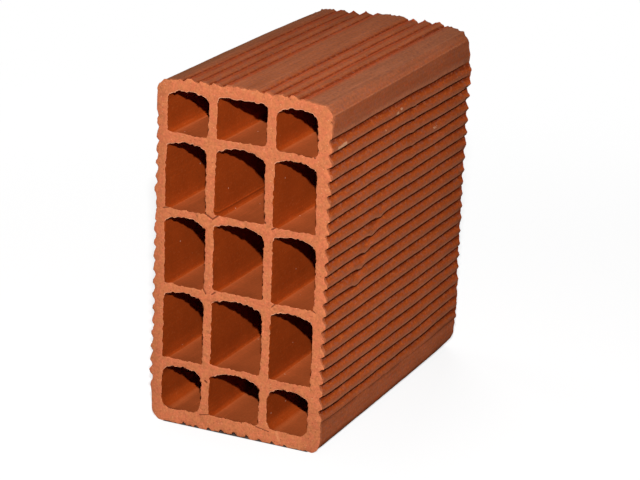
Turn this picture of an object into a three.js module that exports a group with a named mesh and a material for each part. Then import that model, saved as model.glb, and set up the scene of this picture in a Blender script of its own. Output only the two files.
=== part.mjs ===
// A hollow clay partition brick, in millimetres, with +Z up.
//
// The brick is one length of an extruded clay section, cut at both ends and fired. The section
// stands in the XZ plane and runs along Y: a shell with combed faces, three columns and five
// rows of through cells, and thin webs between them. The origin is on the floor, at the middle
// of the brick's box.
import * as THREE from "three";

// Overall size.
const width = 132;
const height = 250;
const length = 240;

// Walls and webs, measured from the crests of the ribs to the flat of the cells.
const sideWall = 9.1;
const topWall = 8.1;
const bottomWall = 10.8;
const uprightWeb = 6.3;
const shelfWeb = 4.8;

// The cells. The side columns share the width that is left, and the tall rows the height.
const middleColumnWidth = 38.1;
const topRowHeight = 31.1;
const bottomRowHeight = 32;
const tallRows = 3;
const middleColumnRise = 0.8;
const coreOffset = -0.9;

// How each kind of cell is rounded: the rise of its arched top, and its corner radii.
const tallCrown = 2.4;
const tallTopRadius = 4.2;
const tallBottomRadius = 1.6;
const topCornerCrown = 1.6;
const topCornerTopRadius = 6.4;
const topCornerBottomRadius = 4;
const topMiddleCrown = 0.5;
const topMiddleTopRadius = 3.8;
const topMiddleBottomRadius = 2.6;
const bottomCornerCrown = 1.4;
const bottomCornerRadius = 8.2;
const bottomMiddleCrown = 4;
const bottomMiddleTopRadius = 3.6;
const bottomMiddleBottomRadius = 2.8;

// The outer corners of the section.
const upperCornerRadius = 6;
const lowerCornerRadius = 9;

// The comb. Each comb has as many notches as fit it at about this pitch.
const notchPitch = 9.6;
const notchMouth = 6.6;
const notchFloor = 1.6;
const shoulder = 1.2;

// The combed sides, with a smooth band above and below. The lowest rib ends in a step.
const sideTopBand = 27;
const sideBottomBand = 31.7;
const sideNotchDepth = 2.9;
const sideBandRecess = 0.7;
const lowestRibWidth = 7.5;

// The combed top: a comb on each side of a smooth middle band. The outer bands fall away.
const topMiddleBand = 28.8;
const topCombWidth = 28.5;
const topNotchDepth = 2.4;
const topBandRecess = 0.6;
const topBandFall = 2;

// The combed underside, between two smooth bands.
const bottomCombWidth = 79;
const bottomNotchDepth = 2.4;

// How far down a notch's flank its round shoulder reaches, as a share of the notch's depth.
const shoulderShare = 0.4;

const curveSegments = 4;

// A pen that draws along one face of the section. It works in distances along the face, and
// depths below the crests, so the same notch serves all four faces.
function facePen(shape, start, along, inward) {
  const place = (distance, depth) =>
    start.clone().addScaledVector(along, distance).addScaledVector(inward, depth);
  return {
    line(distance, depth) {
      const end = place(distance, depth);
      shape.lineTo(end.x, end.y);
    },
    bend(cornerDistance, cornerDepth, distance, depth) {
      const corner = place(cornerDistance, cornerDepth);
      const end = place(distance, depth);
      shape.quadraticCurveTo(corner.x, corner.y, end.x, end.y);
    },
  };
}

// One notch: a round shoulder, a straight flank, a narrow floor, and the same way out again.
// The face before it and after it can lie below the crests, by entry and by exit.
function drawNotch(pen, centre, depth, round, entry, exit) {
  const mouth = notchMouth / 2;
  const floor = notchFloor / 2;
  const flank = (below) => mouth - (mouth - floor) * below / depth;
  const entryTurn = entry + (depth - entry) * shoulderShare;
  const exitTurn = exit + (depth - exit) * shoulderShare;
  pen.line(centre - flank(entry) - round, entry);
  pen.bend(centre - flank(entry), entry, centre - flank(entryTurn), entryTurn);
  pen.line(centre - floor, depth);
  pen.line(centre + floor, depth);
  pen.line(centre + flank(exitTurn), exitTurn);
  pen.bend(centre + flank(exit), exit, centre + flank(exit) + round, exit);
}

// One comb, from its first notch to its last, at nearly the named pitch. The faces outside it
// can lie below its crests, by entry before the first notch and by exit after the last.
function drawComb(pen, first, last, depth, entry, exit) {
  const gaps = Math.max(1, Math.round((last - first) / notchPitch));
  const pitch = (last - first) / gaps;
  const round = Math.min(shoulder, (pitch - notchMouth) / 2);
  for (let index = 0; index <= gaps; index += 1) {
    const before = index === 0 ? entry : 0;
    const after = index === gaps ? exit : 0;
    drawNotch(pen, first + index * pitch, depth, round, before, after);
  }
}

// The outer outline, drawn from the lower left corner and round by the right.
function outerShape() {
  const shape = new THREE.Shape();
  const halfWidth = width / 2;
  const sideX = halfWidth - sideBandRecess;
  const topCornerY = height - topBandRecess - topBandFall;
  shape.moveTo(-sideX + lowerCornerRadius, 0);

  const underside = facePen(
    shape, new THREE.Vector2(coreOffset, 0), new THREE.Vector2(1, 0), new THREE.Vector2(0, 1));
  drawComb(underside, -bottomCombWidth / 2, bottomCombWidth / 2, bottomNotchDepth, 0, 0);
  shape.lineTo(sideX - lowerCornerRadius, 0);
  shape.absarc(sideX - lowerCornerRadius, lowerCornerRadius, lowerCornerRadius,
    -Math.PI / 2, 0, false);

  const rightSide = facePen(
    shape, new THREE.Vector2(halfWidth, 0), new THREE.Vector2(0, 1), new THREE.Vector2(-1, 0));
  const lowestRibEnd = sideBottomBand - lowestRibWidth;
  rightSide.line(lowestRibEnd - shoulder, sideBandRecess);
  rightSide.bend(lowestRibEnd, 0, lowestRibEnd + shoulder, 0);
  drawComb(rightSide, sideBottomBand, height - sideTopBand, sideNotchDepth, 0, sideBandRecess);
  shape.lineTo(sideX, topCornerY - upperCornerRadius);
  shape.absarc(sideX - upperCornerRadius, topCornerY - upperCornerRadius, upperCornerRadius,
    0, Math.PI / 2, false);

  const top = facePen(
    shape, new THREE.Vector2(coreOffset, height), new THREE.Vector2(-1, 0),
    new THREE.Vector2(0, -1));
  const combStart = topMiddleBand / 2;
  const combEnd = combStart + topCombWidth;
  drawComb(top, -combEnd, -combStart, topNotchDepth, topBandRecess, 0);
  drawComb(top, combStart, combEnd, topNotchDepth, 0, topBandRecess);
  shape.lineTo(-sideX + upperCornerRadius, topCornerY);
  shape.absarc(-sideX + upperCornerRadius, topCornerY - upperCornerRadius, upperCornerRadius,
    Math.PI / 2, Math.PI, false);

  const leftSide = facePen(
    shape, new THREE.Vector2(-halfWidth, height), new THREE.Vector2(0, -1),
    new THREE.Vector2(1, 0));
  drawComb(leftSide, sideTopBand, height - sideBottomBand, sideNotchDepth, sideBandRecess, 0);
  leftSide.line(height - lowestRibEnd - shoulder, 0);
  leftSide.bend(height - lowestRibEnd, 0, height - lowestRibEnd + shoulder, sideBandRecess);
  shape.lineTo(-sideX, lowerCornerRadius);
  shape.absarc(-sideX + lowerCornerRadius, lowerCornerRadius, lowerCornerRadius,
    Math.PI, Math.PI * 1.5, false);
  return shape;
}

// One cell: upright sides, a flat floor, an arched top and four round corners.
function cellPath(left, right, bottom, top, form) {
  const fits = Math.min(right - left, top - bottom) / 2;
  const topRadius = Math.min(form.topRadius, fits);
  const bottomRadius = Math.min(form.bottomRadius, fits);
  const spring = top - form.crown;
  const path = new THREE.Path();
  path.moveTo(left + bottomRadius, bottom);
  path.lineTo(right - bottomRadius, bottom);
  path.absarc(right - bottomRadius, bottom + bottomRadius, bottomRadius, -Math.PI / 2, 0, false);
  path.lineTo(right, spring - topRadius);
  path.absarc(right - topRadius, spring - topRadius, topRadius, 0, Math.PI / 2, false);
  path.quadraticCurveTo((left + right) / 2, top + form.crown, left + topRadius, spring);
  path.absarc(left + topRadius, spring - topRadius, topRadius, Math.PI / 2, Math.PI, false);
  path.lineTo(left, bottom + bottomRadius);
  path.absarc(left + bottomRadius, bottom + bottomRadius, bottomRadius,
    Math.PI, Math.PI * 1.5, false);
  return path;
}

const tallForm = {
  crown: tallCrown, topRadius: tallTopRadius, bottomRadius: tallBottomRadius,
};
const topCornerForm = {
  crown: topCornerCrown, topRadius: topCornerTopRadius, bottomRadius: topCornerBottomRadius,
};
const topMiddleForm = {
  crown: topMiddleCrown, topRadius: topMiddleTopRadius, bottomRadius: topMiddleBottomRadius,
};
const bottomCornerForm = {
  crown: bottomCornerCrown, topRadius: bottomCornerRadius, bottomRadius: bottomCornerRadius,
};
const bottomMiddleForm = {
  crown: bottomMiddleCrown,
  topRadius: bottomMiddleTopRadius,
  bottomRadius: bottomMiddleBottomRadius,
};

// The columns from left to right, as [left, right, rise above the side columns].
function columns() {
  const sideColumnWidth = (width - 2 * sideWall - 2 * uprightWeb - middleColumnWidth) / 2;
  const middleLeft = coreOffset - middleColumnWidth / 2;
  const middleRight = coreOffset + middleColumnWidth / 2;
  return [
    [middleLeft - uprightWeb - sideColumnWidth, middleLeft - uprightWeb, 0],
    [middleLeft, middleRight, middleColumnRise],
    [middleRight + uprightWeb, middleRight + uprightWeb + sideColumnWidth, 0],
  ];
}

// The rows from the floor up, as [bottom, top, form at the sides, form in the middle].
function rows() {
  const shelves = tallRows + 1;
  const tallRowHeight = (height - topWall - bottomWall - topRowHeight - bottomRowHeight
    - shelves * shelfWeb) / tallRows;
  const list = [];
  let level = bottomWall;
  const addRow = (rowHeight, sideForm, middleForm) => {
    list.push([level, level + rowHeight, sideForm, middleForm]);
    level += rowHeight + shelfWeb;
  };
  addRow(bottomRowHeight, bottomCornerForm, bottomMiddleForm);
  for (let index = 0; index < tallRows; index += 1) {
    addRow(tallRowHeight, tallForm, tallForm);
  }
  addRow(topRowHeight, topCornerForm, topMiddleForm);
  return list;
}

const section = outerShape();
for (const [bottom, top, sideForm, middleForm] of rows()) {
  for (const [left, right, rise] of columns()) {
    const form = rise > 0 ? middleForm : sideForm;
    section.holes.push(cellPath(left, right, bottom + rise, top + rise, form));
  }
}

// The section is extruded along +Z, then laid over so that it stands upright and runs along Y.
const geometry = new THREE.ExtrudeGeometry(section, {
  depth: length, steps: 1, bevelEnabled: false, curveSegments,
});
geometry.translate(0, 0, -length / 2);
geometry.rotateX(Math.PI / 2);

const clay = new THREE.MeshStandardMaterial({ color: 0xb4673f, roughness: 0.85, metalness: 0 });
const brick = new THREE.Mesh(geometry, clay);
brick.name = "brick";

const group = new THREE.Group();
group.add(brick);

export default group;
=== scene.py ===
# %% [markdown]
# A hollow clay partition brick, dressed in three finishes.
#
# The frame comes from the packed CAD model: one plain solid called "brick". The real brick is
# made in three steps that each leave their own marks. A die draws a bar of wet clay, a wire cuts
# the bar into lengths, and a kiln fires them. So this lesson makes one closed mesh with three
# finishes: the drawn skin, the drawn cells inside it, and the two wire-cut ends.

# %% Load the frame
import math

import bmesh
import bpy
import numpy as np
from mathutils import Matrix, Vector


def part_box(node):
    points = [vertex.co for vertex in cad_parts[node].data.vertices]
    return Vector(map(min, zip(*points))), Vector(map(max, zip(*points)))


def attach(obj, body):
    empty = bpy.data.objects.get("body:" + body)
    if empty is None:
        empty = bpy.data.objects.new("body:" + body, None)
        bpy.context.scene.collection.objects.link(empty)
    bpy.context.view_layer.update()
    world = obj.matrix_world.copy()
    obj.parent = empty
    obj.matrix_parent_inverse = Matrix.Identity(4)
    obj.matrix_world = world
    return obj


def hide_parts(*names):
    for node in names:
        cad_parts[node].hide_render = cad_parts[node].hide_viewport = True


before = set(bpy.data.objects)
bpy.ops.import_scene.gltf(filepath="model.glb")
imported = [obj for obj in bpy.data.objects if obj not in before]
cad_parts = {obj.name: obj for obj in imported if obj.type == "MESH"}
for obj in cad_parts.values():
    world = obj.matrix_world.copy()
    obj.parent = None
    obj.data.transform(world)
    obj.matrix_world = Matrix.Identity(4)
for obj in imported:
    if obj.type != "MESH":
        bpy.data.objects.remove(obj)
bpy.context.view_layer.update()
MM = 0.001
brick_low, brick_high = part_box("brick")
width, length, height = [side / MM for side in brick_high - brick_low]
print("brick, mm:", round(width, 2), round(length, 2), round(height, 2))

# %% [markdown]
# The camera stands two metres off, to the right and a little above, with a long lens, so that
# the brick's far edges stay nearly parallel to its near ones. It is kept as a place in metres
# and three turns in degrees. The middle turn is a roll of two degrees: the uprights lean slightly.

# %% Camera
camera_data = bpy.data.cameras.new("camera")
camera_data.sensor_width = 36
camera_data.lens = 154.75
camera_data.clip_start = 0.1
camera_data.clip_end = 50
camera = bpy.data.objects.new("camera", camera_data)
camera.location = (0.7748, -1.7043, 0.7405)
camera.rotation_euler = [math.radians(turn) for turn in (71.354, -2.204, 25.041)]
bpy.context.scene.collection.objects.link(camera)
bpy.context.scene.camera = camera
print("camera", [round(value, 3) for value in camera.location])

# %% [markdown]
# The section's sizes, in millimetres, as the clay die made them. Walls and webs are measured
# from the crests of the ribs and from the flats of the cells. Three columns and five rows of
# cells share what the walls and the webs leave.

# %% Sizes of the section
side_wall = 9.1
top_wall = 8.1
bottom_wall = 10.8
upright_web = 6.3
shelf_web = 4.8
middle_column_width = 38.1
top_row_height = 31.1
bottom_row_height = 32.0
middle_column_rise = 0.8
core_offset = -0.9

side_column_width = (width - 2 * side_wall - 2 * upright_web - middle_column_width) / 2
tall_row_height = (
    height - top_wall - bottom_wall - top_row_height - bottom_row_height - 4 * shelf_web
) / 3
middle_left = core_offset - middle_column_width / 2
middle_right = core_offset + middle_column_width / 2
column_edges = [
    (middle_left - upright_web - side_column_width, middle_left - upright_web),
    (middle_left, middle_right),
    (middle_right + upright_web, middle_right + upright_web + side_column_width),
]
row_heights = [bottom_row_height] + 3 * [tall_row_height] + [top_row_height]
row_floors = bottom_wall + np.cumsum([0] + [tall + shelf_web for tall in row_heights[:-1]])
upright_lines = [middle_left - upright_web / 2, middle_right + upright_web / 2]
shelf_lines = [floor - shelf_web / 2 for floor in row_floors[1:]]
print("columns", np.round(column_edges, 2).tolist())
print("floors", np.round(row_floors, 2).tolist())

# %% [markdown]
# Clay is never quite even, so nearly every surface below is nudged by noise. Blender has noise
# nodes for materials, but the shape needs noise as numbers. Value noise is the simplest kind:
# each corner of a lattice gets a random height, and the heights are blended smoothly in between.
# What happened to one place alone, such as a dent, is a bell curve.

# %% Noise for shapes
def lattice_height(corner, seed):
    """A repeatable height from -1 to 1 for each lattice corner.

    The corner's whole numbers are mixed with odd multipliers and the seed, and the low bits of
    the result are scaled to the range.
    """
    factors = np.array([73856093, 19349663, 83492791], dtype=np.int64)
    mixed = (corner * factors[: corner.shape[-1]]).sum(axis=-1) + seed * 2654435761
    mixed = (mixed ^ (mixed >> 13)) * 1274126177
    mixed = mixed ^ (mixed >> 16)
    return (mixed & 0xFFFF) / 32767.5 - 1


def noise(coordinates, spacing, seed):
    """Smooth noise from -1 to 1 at points, with lattice corners spacing apart on each axis.

    The points are given axis by axis. The heights at the corners round a point are weighted by
    3t^2 - 2t^3 of its place between them.
    """
    scaled = np.stack(np.broadcast_arrays(*coordinates), axis=-1) / np.asarray(spacing)
    base = np.floor(scaled).astype(np.int64)
    place = scaled - base
    weight = place * place * (3 - 2 * place)
    total = 0
    for corner in np.ndindex(*(2,) * scaled.shape[-1]):
        offset = np.array(corner)
        share = np.where(offset, weight, 1 - weight).prod(axis=-1)
        total = total + share * lattice_height(base + offset, seed)
    return total


def smooth_step(low, high, value):
    """0 below low, 1 above high, and 3t^2 - 2t^3 between them."""
    place = np.clip((value - low) / (high - low), 0, 1)
    return place * place * (3 - 2 * place)


def window(value, outer_low, low, high, outer_high):
    """1 from low to high, and 0 outside the two outer values, smooth between."""
    return smooth_step(outer_low, low, value) * smooth_step(outer_high, high, value)


def bell(distance, reach):
    """A bell curve: exp(-(distance / reach)^2), which is 1 at distance 0."""
    return np.exp(-(distance / reach) ** 2)


def bells(value, marks):
    """The sum of several bell curves. Each is an amount, a place and a reach."""
    return sum(amount * bell(value - place, reach) for amount, place, reach in marks)


def end_distance(along):
    """How far a place along the brick is from the nearer end, in millimetres."""
    return np.minimum(along, length - along)


print("noise sample", np.round(noise(([1.0, 3.5], [2.0, 4.0]), 3.0, 1), 3))

# %% [markdown]
# The skin is combed with notches so that mortar and plaster can grip. A notch is a rounded V,
# and its upper flank is steeper than its lower one, so each rib looks like a shingle. The
# profile's points keep the same places in every notch, which makes all ribs equally sharp.

# %% One notch
notch_pitch = 9.565
notch_depth = 2.85
steep_reach = 2.4
gentle_reach = 5.0
notch_places = np.array([-5.0, -4.1, -3.1, -2.0, -1.0, 0.0, 0.8, 1.5, 2.0, 2.4])


def notch_profile(distance, steep, gentle):
    """Depth of a notch, as a share of its full depth, at signed distances from its floor.

    It is 1 - (distance / reach) ** power. Towards the steep flank, where the distance is
    positive, the reach is shorter and the power higher.
    """
    reach = np.where(distance > 0, steep, gentle)
    power = np.where(distance > 0, 1.6, 1.2)
    return 1 - np.clip(np.abs(distance) / reach, 0, 1) ** power


notch_shape = notch_depth * notch_profile(notch_places, steep_reach, gentle_reach)
print("notch", np.round(notch_shape, 2))

# %% [markdown]
# The outer outline is drawn face by face, counter-clockwise seen from the front, and each face
# runs from the middle of one corner to the middle of the next. Besides its place, every point
# keeps three marks: how far it may slide with a wandering rib, how much the die polished it, and
# how deep it lies in a notch. Polish above 1 marks where a highlight is painted. A corner is a
# quarter of a superellipse: with a power near 1 it becomes a chamfer.

# %% Outline helpers
side_recess = 0.7
corner_steps = 4
lower_right_corner = (6.5, 8.5, 1.8)
lower_left_corner = (9.5, 9.5, 2.0)
upper_right_corner = (4.8, 6.8, 1.1)
upper_left_corner = (8.0, 6.4, 1.35)


def half_corner(corner, from_side):
    """Half of a quarter superellipse, as distances back from the two faces that it joins.

    Point t is (run * (1 - sin(t) ** (2 / power)), rise * (1 - cos(t) ** (2 / power))). The half
    near the upright side has t from 45 to 90 degrees, the other from 0 to 45.
    """
    run, rise, power = corner
    turn = np.radians(np.linspace(45, 90 if from_side else 0, corner_steps + 1))
    back = run * (1 - np.sin(turn) ** (2 / power))
    up = rise * (1 - np.maximum(np.cos(turn), 0) ** (2 / power))
    return back, up


def fill_gaps(places, count):
    """Adds points to a sorted list, each in the middle of its widest gap, until it has count."""
    places = list(places)
    while len(places) < count:
        gaps = np.diff(places)
        widest = int(np.argmax(gaps))
        places.insert(widest + 1, places[widest] + gaps[widest] / 2)
    return np.array(places)


print("lower right corner, mm:", np.round(half_corner(lower_right_corner, True), 2).tolist())

# %% [markdown]
# Both upright sides are combed from the lowest rib to a smooth band near the top. The right side's
# notches are alike. The left side's differ from rib to rib, and some were pressed nearly flat. So
# the comb is one formula that repeats with the pitch, times a share that varies with the level.

# %% Notches of the upright sides
side_bottom_band = 31.7
lowest_rib = 7.5
side_notches = side_bottom_band + notch_pitch * np.arange(21)
lowest_edge = side_bottom_band - lowest_rib
worn_level = 153
worn_reach = 12


def notch_share(level, left):
    """How deep the notches near each level are, as a share of the full depth.

    On the right side they are nearly alike. On the left side they vary from rib to rib, and
    they are shallow where that side was pressed flat: a bell round the worn level.
    """
    vary = noise((level / notch_pitch, 0.5), 1.3, 61)
    worn = bell(level - worn_level, worn_reach)
    return np.where(left, (0.84 + 0.34 * vary) * (1 - 0.65 * worn), 0.97 + 0.06 * vary)


def side_groove(level, left):
    """How deep each level of a side lies in a notch, in millimetres."""
    above_notch = (level - side_bottom_band) % notch_pitch
    nearest = np.where(above_notch > notch_pitch / 2, above_notch - notch_pitch, above_notch)
    combed = (level > side_bottom_band - gentle_reach) & (level < side_notches[-1] + steep_reach)
    notch = np.where(combed, notch_profile(nearest, steep_reach, gentle_reach), 0)
    return notch_depth * notch * notch_share(level, left)


for left in (False, True):
    print("notches, mm:", np.round(side_groove(side_notches, left), 1).tolist())

# %% [markdown]
# Between two notches stands a crest. It leans in towards its top, as a shingle does, and the die
# polished its lower rim, where a highlight is also painted. The left side dried with bumps and a
# bulge. A sculpting brush could make them too, but bell curves added to the profile can be read
# and changed.

# %% Crests and bands of the upright sides
crest_lean = 0.4
# How much highlight is painted on the lower rim of each crest, beyond its polish.
rim_highlight = 0.9
# Where the left side stands out, or in: each an amount, a level and a reach.
left_bumps = [
    (0.9, 223.0, 3.2), (-0.5, 215.5, 3.2), (-0.6, 207.0, 3.2), (-0.8, 183.5, 3.2),
    (0.9, 169.5, 3.2), (0.4, 153.5, 3.2), (0.9, 144.5, 3.2), (1.2, 37.0, 3.2), (0.7, 50.0, 13.0),
]


def side_base(level, left):
    """How far the crests and bands of a side lie below its outermost place, in millimetres.

    The bands lie a little deeper than the crests, and each crest leans in towards its top. The
    left side bulges by 0.5 below its worn place, and at the listed places.
    """
    above_notch = (level - side_bottom_band) % notch_pitch
    combed = (level > lowest_edge) & (level < side_notches[-1])
    lean = crest_lean * smooth_step(steep_reach, 7.0, above_notch) * combed
    band = 1 - smooth_step(lowest_edge - 1.2, lowest_edge + 0.6, level)
    band = np.maximum(band, smooth_step(side_notches[-1], side_notches[-1] + steep_reach, level))
    worn = 0.7 * left * bell(level - worn_level, worn_reach)
    bulge = 0.5 * smooth_step(148, 132, level) + bells(level, left_bumps)
    return lean + side_recess * band + worn - bulge * left * smooth_step(12, 26, level)


def side_polish_and_highlight(level):
    """How polished each level of a side is: the bands, and the lower part of each crest.

    It is 1 where the die rubbed the clay, and up to 1.9 on the lower rim of a crest, which
    begins about 2 above its notch: above 1 it marks a painted highlight. The lowest rib is
    rubbed like the band below it.
    """
    above_notch = (level - side_bottom_band) % notch_pitch
    crest = window(above_notch, 1.9, 2.3, 4.2, 6.0)
    rim = rim_highlight * window(above_notch, 1.9, 2.3, 2.5, 3.4)
    band = 0.9 * smooth_step(side_bottom_band - 3.4, side_bottom_band - 4.4, level)
    band = np.maximum(band, smooth_step(side_notches[-1] + 2, side_notches[-1] + 3, level))
    return np.maximum((crest + rim) * (level > side_bottom_band), band)


sample_levels = side_bottom_band + np.arange(0, 10, 2.0)
print("base, mm:", np.round(side_base(sample_levels, False), 2).tolist())
print("polish:", np.round(side_polish_and_highlight(sample_levels), 2).tolist())

# %% [markdown]
# A side is now one row of points from the middle of its lower corner to the middle of its upper
# one. A grid of even steps would round the ribs off, so the points are the notches' own places,
# with a few more on the smooth bands. The drift of the ribs fades out before the corners.

# %% The path of an upright side
top_recess = 0.6
top_fall = 2.0
left_fall = 1.8
top_corner_level = height - top_recess - top_fall


def side_path(lower, upper, left):
    """Levels, depths, slides, polish and groove of one side, between two corner middles."""
    low_back, low_up = half_corner(lower, True)
    high_back, high_down = half_corner(upper, True)
    low_end = low_up[-1]
    high_end = top_corner_level - high_down[-1]
    combed = (side_notches[:, None] + notch_places).ravel()
    step = lowest_edge + np.array([-1.4, -0.4, 0.6])
    lower_band = np.linspace(low_end, step[0], 6)[1:-1]
    upper_band = combed[-1] + (high_end - combed[-1]) * np.array([0.3, 0.6, 0.85, 0.96])
    flat = np.concatenate([lower_band, step, combed, upper_band])
    level = np.concatenate([low_up, flat, top_corner_level - high_down[::-1]])
    no_groove = np.zeros(corner_steps + 1)
    groove = np.concatenate([no_groove, side_groove(flat, left), no_groove])
    depth = groove + np.concatenate([
        side_recess + low_back, side_base(flat, left), side_recess + high_back[::-1]])
    slide = smooth_step(lowest_edge - 3, lowest_edge + 3, level)
    slide = slide * (1 - smooth_step(side_notches[-1] + 4, side_notches[-1] + 12, level))
    polish = side_polish_and_highlight(level) * (1 - 0.3 * (level > high_end)) * (1 - 0.3 * (level < low_end))
    return level, depth, slide, polish, groove


right_side = side_path(lower_right_corner, upper_right_corner, False)
left_side = side_path(lower_left_corner, upper_left_corner, True)
print("points on a side:", len(right_side[0]))

# %% [markdown]
# The top has two combs with a smooth band between them, and its outer bands fall away to the
# corners. The underside has one comb between two smooth bands, and it arches a little over its
# middle. Both are formulas of the place across, like the sides.

# %% Surfaces of the top and the underside
top_band_middle = 28.8
top_notch_pitch = 9.5
top_reach = top_band_middle / 2 + 3 * top_notch_pitch
top_notch_depth = 2.3
half_comb = top_band_middle / 2 + top_notch_pitch * np.arange(4)
top_notches = core_offset + np.concatenate([-half_comb[::-1], half_comb])
bottom_notches = core_offset + np.linspace(-39.5, 39.5, 9)
bottom_notch_depth = 2.3
bottom_arch = 0.6
bottom_lift = 0.2
top_lean = 0.5


def nearest_distance(across, notches):
    """Signed distance from each place to its nearest notch."""
    distance = across[:, None] - notches
    nearest = np.argmin(np.abs(distance), axis=1)
    return np.take_along_axis(distance, nearest[:, None], axis=1)[:, 0]


def top_surface(across, corner_place):
    """Base, polish and groove across the top: two combs, a middle band, two falling bands.

    The ribs lean to the right: each is highest at its left edge and falls by up to top_lean
    towards its right one.
    """
    distance = nearest_distance(across, top_notches)
    notch = notch_profile(distance, 2.4, 3.4)
    outside = np.abs(across - core_offset) - top_reach
    fall = np.clip(outside / (corner_place - top_reach), 0, 1)
    base = top_recess * smooth_step(0, 2.5, outside)
    base = base + np.where(across < 0, left_fall, top_fall) * fall
    combed = (np.abs(np.abs(across - core_offset) - 29) < 14.5) & (distance < 0)
    lean = top_lean * smooth_step(-5.6, -3.0, distance) * combed * (1 - notch)
    return base * (1 - notch) + lean, 1 - notch ** 0.6, top_notch_depth * notch


def bottom_surface(across, corner_place):
    """Base, polish and groove across the underside, which arches a little over its middle.

    Its notches differ in depth: one is half as deep again, and those right of it are shallower.
    """
    distance = nearest_distance(across, bottom_notches)
    notch = notch_profile(-distance, 1.4, 3.2)
    arch = bottom_arch * np.clip(1 - ((across + 6) / 16) ** 2, 0, 1)
    lift = bottom_lift * smooth_step(-44, -60, across)
    vary = 1 + 0.25 * noise((across, across), 8.0, 63)
    vary = vary + 0.5 * bell(across - 9, 3) - 0.3 * smooth_step(10, 16, across)
    return arch + lift, 1 - notch ** 0.6, bottom_notch_depth * notch * vary


print("notches across the top, mm:", np.round(top_notches, 1).tolist())
print("notches across the underside, mm:", np.round(bottom_notches, 1).tolist())

# %% [markdown]
# The top and the underside become rows of points too. Each column of cells gets a set number of
# steps, so that a cell can later be joined to its part of the outline point by point. The points
# that the notches leave over go where the gaps are widest.

# %% Paths of the top and the underside
column_steps = [36, 45, 36]
narrow_places = np.array([-4.6, -3.7, -2.5, -1.3, -0.2, 0.8, 1.8, 2.6, 3.2])
side_plane = width / 2 - side_recess
corner_polish = 0.7


def level_path(surface, notches, left_corner, right_corner, corner_depth):
    """Places, depths, polish and groove of the top or underside, with fixed steps per column."""
    left_back, left_up = half_corner(left_corner, False)
    right_back, right_up = half_corner(right_corner, False)
    left_end = -side_plane + left_back[-1]
    right_end = side_plane - right_back[-1]
    bounds = [left_end] + upright_lines + [right_end]
    combed = (notches[:, None] + narrow_places).ravel()
    parts = []
    for column, steps in enumerate(column_steps):
        first, last = bounds[column], bounds[column + 1]
        inside = combed[(combed > first + 0.5) & (combed < last - 0.5)]
        taken = corner_steps if column != 1 else 0
        parts.append(fill_gaps([first, *inside, last], steps - taken + 1)[column > 0:])
    flat = np.concatenate(parts)
    base, polish, groove = surface(flat, -left_end)
    left_join = (base[0] - corner_depth) * smooth_step(0, left_back[-1], left_back)
    right_join = (base[-1] - corner_depth) * smooth_step(0, right_back[-1], right_back)
    left_depth = corner_depth + left_up + left_join
    right_depth = corner_depth + right_up + right_join
    place = np.concatenate([-side_plane + left_back[:-1], flat, side_plane - right_back[-2::-1]])
    depth = np.concatenate([left_depth[:-1], base + groove, right_depth[-2::-1]])
    edge = np.full(corner_steps, corner_polish)
    polish = np.concatenate([edge, polish, edge])
    return place, depth, polish, np.concatenate([0 * edge, groove, 0 * edge])


top_side = level_path(
    top_surface, top_notches, upper_left_corner, upper_right_corner, top_recess + top_fall)
under_side = level_path(bottom_surface, bottom_notches, lower_left_corner, lower_right_corner, 0)
print("points on the top and the underside:", len(top_side[0]), len(under_side[0]))

# %% [markdown]
# The four faces are joined into one closed outline. Where the web lines meet the outline it is
# split into 16 stretches, so that later each outer cell can be given its own.

# %% The whole outline
side_levels = right_side[0]
row_splits = [int(np.argmin(np.abs(side_levels - line))) for line in shelf_lines]
row_steps = np.diff([0, *row_splits, len(side_levels) - 1])
stretch_starts = np.cumsum(
    [0, *column_steps, *row_steps, *column_steps[::-1], *row_steps[::-1]])


def face_points(across, up, slide_across, slide_up, polish, groove):
    """One face of the outline: rows of x, z, slide along x and along z, polish and groove."""
    marks = np.broadcast_arrays(across, up, slide_across, slide_up, polish, groove)
    return np.stack(marks, axis=1)


under_slide = smooth_step(62, 50, np.abs(under_side[0]))
top_slide = smooth_step(58, 46, np.abs(top_side[0]))
under_face = face_points(under_side[0], under_side[1], under_slide, 0, *under_side[2:])
right_face = face_points(width / 2 - right_side[1], right_side[0], 0, *right_side[2:])
top_face = face_points(top_side[0], height - top_side[1], top_slide, 0, *top_side[2:])[::-1]
left_face = face_points(left_side[1] - width / 2, left_side[0], 0, *left_side[2:])[::-1]
outline = np.concatenate([under_face[:-1], right_face[:-1], top_face[:-1], left_face[:-1]])


def outward(loop, spread):
    """Unit directions out of a counter-clockwise loop, averaged over 2 * spread + 1 points."""
    ahead = np.roll(loop, -1, axis=0) - np.roll(loop, 1, axis=0)
    normal = np.stack([ahead[:, 1], -ahead[:, 0]], axis=1)
    normal = normal / np.linalg.norm(normal, axis=1, keepdims=True)
    total = sum(np.roll(normal, shift, axis=0) for shift in range(-spread, spread + 1))
    return total / np.linalg.norm(total, axis=1, keepdims=True)


print("outline points:", len(outline), "steps per row:", row_steps, "per column:", column_steps)

# %% [markdown]
# The ribs wander. The clay was soft when it left the die, so every notch drifts up and down by
# a few tenths of a millimetre, and the lowest ribs sank. Something dragged across the right side
# before it was dry: the notches dip together along a slanted line. A lattice modifier could bend
# the brick, but not each rib by itself. So each is a shift that depends on the place along the
# brick and across it.

# %% How the ribs wander
def rib_shift(across, along):
    """How far a rib slides along its face, in millimetres, at a place across and along the brick.

    It is noise that changes quickly from rib to rib and slowly along them.
    """
    return 0.38 * noise((across, along), (11, 90), 3) + 0.26 * noise((across, along), (9, 24), 4)


def drag_marks(level, along):
    """Dips of the right side's notches: one long slanted mark, and a fainter upright one.

    Each is a bell curve across a line that gives the place along the brick for each level.
    """
    rise = level - 110
    slanted = 49 + 0.5 * rise + 0.0115 * rise ** 2
    upright = 137 + 0.03 * (level - 190)
    deep = 2.0 * bell(along - slanted, 4.8) * window(level, 104, 110, 151, 157)
    return deep + 0.8 * bell(along - upright, 4) * window(level, 160, 168, 216, 222)


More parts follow.
